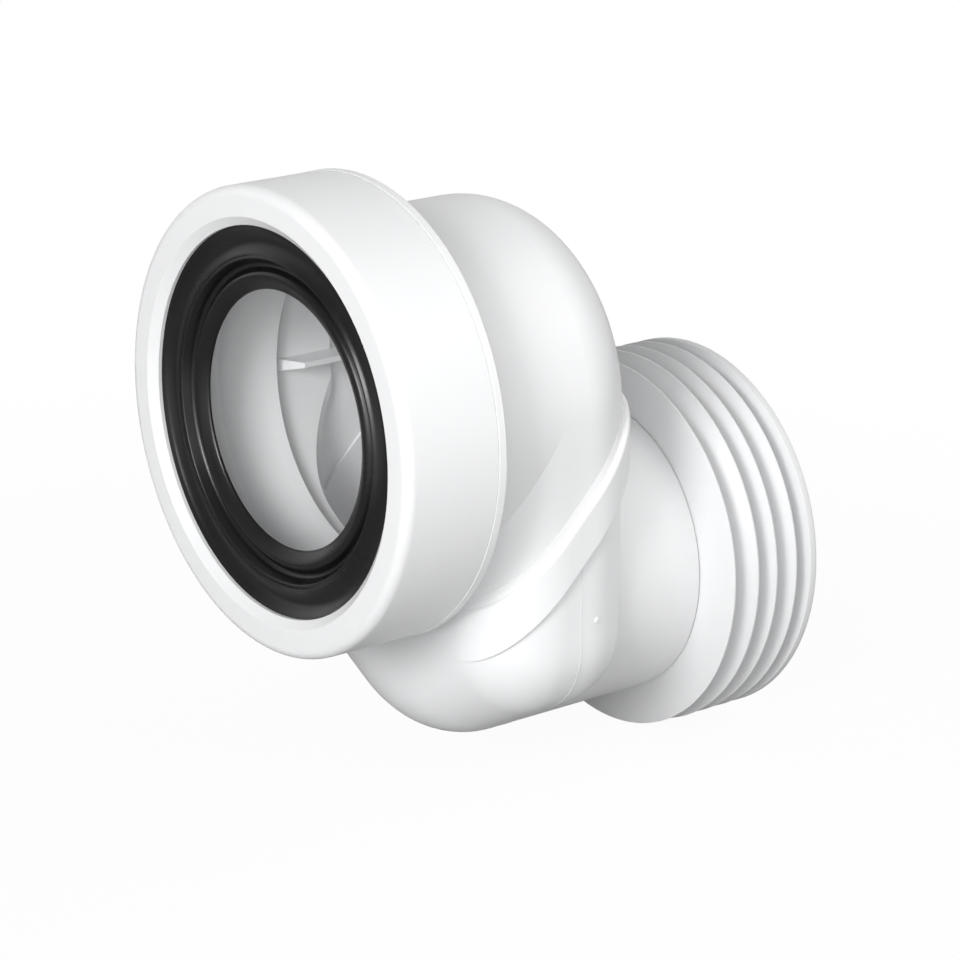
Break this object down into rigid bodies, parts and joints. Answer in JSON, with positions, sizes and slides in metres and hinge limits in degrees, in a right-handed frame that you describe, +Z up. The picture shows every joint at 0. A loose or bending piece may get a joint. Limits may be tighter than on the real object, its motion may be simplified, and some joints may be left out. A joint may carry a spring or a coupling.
{
  "type": "toilet pan connector",
  "caption": "Offset toilet pan connector: a wide collar with a rubber lip seal, a slanted two-part chamber, and a lower outlet pipe ending in a ribbed sealing sleeve.",
  "frame": {"origin": "centre of the collar's mouth, on the axis of the inlet", "axes": "+X along both pipe axes from the inlet to the outlet, +Z up, the outlet lies lower than the inlet, +Y across"},
  "size_m": [0.16, 0.1344, 0.1848],
  "materials": {
    "collar_plastic": "smooth white moulded plastic with a soft gloss",
    "seal_rubber": "black moulded rubber with a soft sheen",
    "inlet_plastic": "smooth white moulded plastic with a soft gloss",
    "outlet_plastic": "smooth white moulded plastic with a soft gloss",
    "fin_rubber": "soft white sealing plastic, satin"
  },
  "bodies": {
    "root": {"inlet_collar": "collar_plastic", "inlet_seal": "seal_rubber", "inlet_body": "inlet_plastic", "outlet_body": "outlet_plastic", "outlet_fin_seal": "fin_rubber"}
  },
  "joints": []
}
